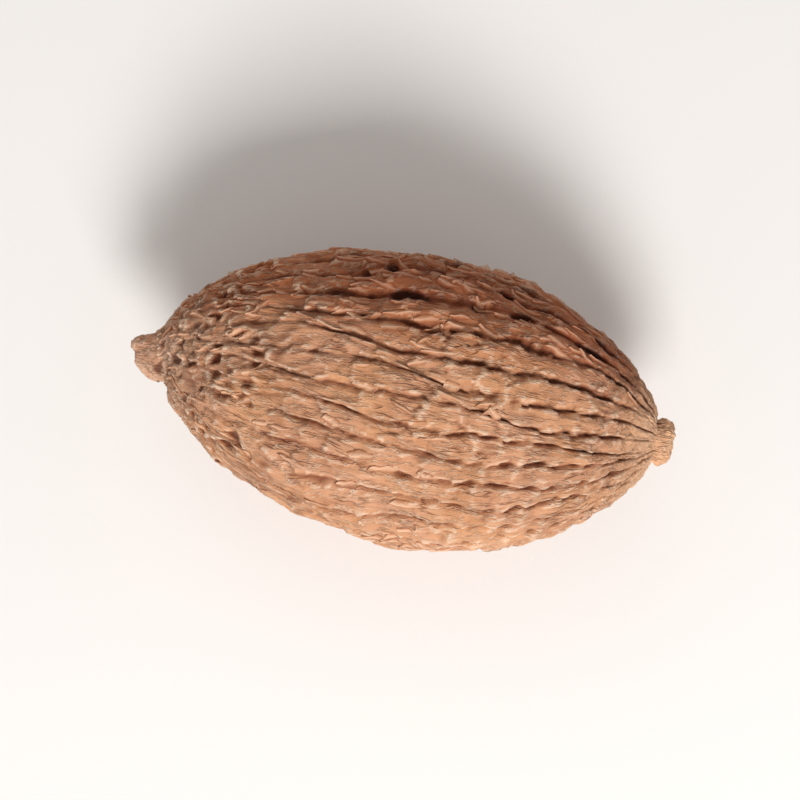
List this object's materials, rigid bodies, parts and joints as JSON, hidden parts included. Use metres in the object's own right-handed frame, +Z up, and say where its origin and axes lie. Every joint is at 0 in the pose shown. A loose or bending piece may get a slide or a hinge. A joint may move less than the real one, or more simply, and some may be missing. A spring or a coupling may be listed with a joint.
{
  "type": "amomum fruit",
  "caption": "Dried spindle-shaped seed pod with long ridges, flat soft spines, a withered flower tip and a short stalk stub, lying on its side.",
  "frame": {"origin": "on the surface the pod rests on, under the middle of its bounding box", "axes": "+X along the pod towards its stalk stub, -X towards its withered flower tip, +Y across the pod, +Z up"},
  "size_m": [0.021, 0.0114, 0.0104],
  "materials": {
    "husk": "dry matt plant fibre, tan on the ridges and dark brown in the creases"
  },
  "bodies": {
    "root": {"fruit": "husk"}
  },
  "joints": []
}
